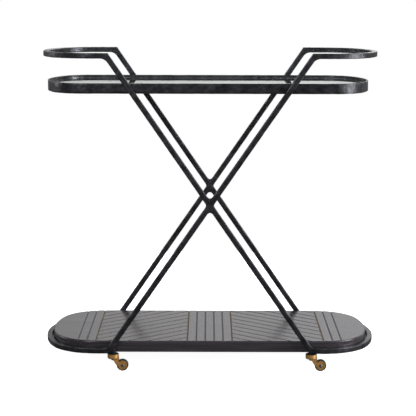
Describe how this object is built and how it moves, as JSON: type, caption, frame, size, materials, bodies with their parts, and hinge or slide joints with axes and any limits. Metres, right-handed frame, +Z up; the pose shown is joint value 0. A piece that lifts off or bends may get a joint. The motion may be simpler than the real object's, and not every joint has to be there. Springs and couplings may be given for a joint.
{
  "type": "bar cart",
  "caption": "Bar cart on swivel casters with crossed hammered-iron hoops, a glass tray at the top and a grooved wooden shelf below.",
  "frame": {"origin": "on the floor, under the middle of the cart", "axes": "+X along the cart's length, +Y from front to rear, +Z up"},
  "size_m": [0.98, 0.4568, 0.914],
  "materials": {
    "hammered_iron": "hammered, blackened and waxed to a satin sheen",
    "black_steel": "satin black",
    "tray_glass": "clear, polished",
    "clear_bumper": "clear, soft",
    "stained_wood": "grey stain under satin lacquer",
    "zinc_steel": "zinc plated",
    "black_oxide": "black oxide",
    "antique_brass": "antiqued",
    "black_tyre": "matt"
  },
  "bodies": {
    "cart": {"front_cross_weld": "hammered_iron", "front_left_caster_boss": "black_steel", "front_left_caster_nut": "black_oxide", "front_left_caster_stem": "zinc_steel", "front_left_caster_washer": "black_oxide", "front_left_leg": "hammered_iron", "front_right_caster_nut": "black_oxide", "front_right_caster_stem": "zinc_steel", "front_right_caster_washer": "black_oxide", "front_right_leg": "hammered_iron", "glass_bumpers": "clear_bumper", "left_foot_loop": "hammered_iron", "left_handle_loop": "hammered_iron", "left_shelf_bearer": "black_steel", "rear_cross_weld": "hammered_iron", "rear_left_caster_boss": "black_steel", "rear_left_caster_nut": "black_oxide", "rear_left_caster_stem": "zinc_steel", "rear_left_caster_washer": "black_oxide", "rear_left_leg": "hammered_iron", "rear_right_caster_nut": "black_oxide", "rear_right_caster_stem": "zinc_steel", "rear_right_caster_washer": "black_oxide", "rear_right_leg": "hammered_iron", "right_foot_loop": "hammered_iron", "right_handle_loop": "hammered_iron", "right_shelf_bearer": "black_steel", "shelf_board": "stained_wood", "shelf_ledges": "black_steel", "shelf_screws": "zinc_steel", "tray_glass": "tray_glass", "tray_glass_ledge": "black_steel", "tray_rim": "hammered_iron"},
    "swivel_front_left": {"front_left_caster_fork": "antique_brass", "front_left_caster_axle": "zinc_steel"},
    "wheel_front_left": {"front_left_caster_wheel": "antique_brass", "front_left_caster_tyre": "black_tyre"},
    "swivel_front_right": {"front_right_caster_fork": "antique_brass", "front_right_caster_axle": "zinc_steel"},
    "wheel_front_right": {"front_right_caster_wheel": "antique_brass", "front_right_caster_tyre": "black_tyre"},
    "swivel_rear_left": {"rear_left_caster_fork": "antique_brass", "rear_left_caster_axle": "zinc_steel"},
    "wheel_rear_left": {"rear_left_caster_wheel": "antique_brass", "rear_left_caster_tyre": "black_tyre"},
    "swivel_rear_right": {"rear_right_caster_fork": "antique_brass", "rear_right_caster_axle": "zinc_steel"},
    "wheel_rear_right": {"rear_right_caster_wheel": "antique_brass", "rear_right_caster_tyre": "black_tyre"}
  },
  "joints": [
    {"name": "swivel_turn_front_left", "type": "hinge", "parent": "cart", "child": "swivel_front_left", "pos_m": [-0.2787, -0.212, 0.043], "axis": [0, 0, 1], "continuous": true},
    {"name": "wheel_roll_front_left", "type": "hinge", "parent": "swivel_front_left", "child": "wheel_front_left", "pos_m": [-0.2517, -0.212, 0.017], "axis": [0, 1, 0], "continuous": true},
    {"name": "swivel_turn_front_right", "type": "hinge", "parent": "cart", "child": "swivel_front_right", "pos_m": [0.2933, -0.212, 0.043], "axis": [0, 0, 1], "continuous": true},
    {"name": "wheel_roll_front_right", "type": "hinge", "parent": "swivel_front_right", "child": "wheel_front_right", "pos_m": [0.3203, -0.212, 0.017], "axis": [0, 1, 0], "continuous": true},
    {"name": "swivel_turn_rear_left", "type": "hinge", "parent": "cart", "child": "swivel_rear_left", "pos_m": [-0.2787, 0.212, 0.043], "axis": [0, 0, 1], "continuous": true},
    {"name": "wheel_roll_rear_left", "type": "hinge", "parent": "swivel_rear_left", "child": "wheel_rear_left", "pos_m": [-0.2517, 0.212, 0.017], "axis": [0, 1, 0], "continuous": true},
    {"name": "swivel_turn_rear_right", "type": "hinge", "parent": "cart", "child": "swivel_rear_right", "pos_m": [0.2933, 0.212, 0.043], "axis": [0, 0, 1], "continuous": true},
    {"name": "wheel_roll_rear_right", "type": "hinge", "parent": "swivel_rear_right", "child": "wheel_rear_right", "pos_m": [0.3203, 0.212, 0.017], "axis": [0, 1, 0], "continuous": true}
  ]
}
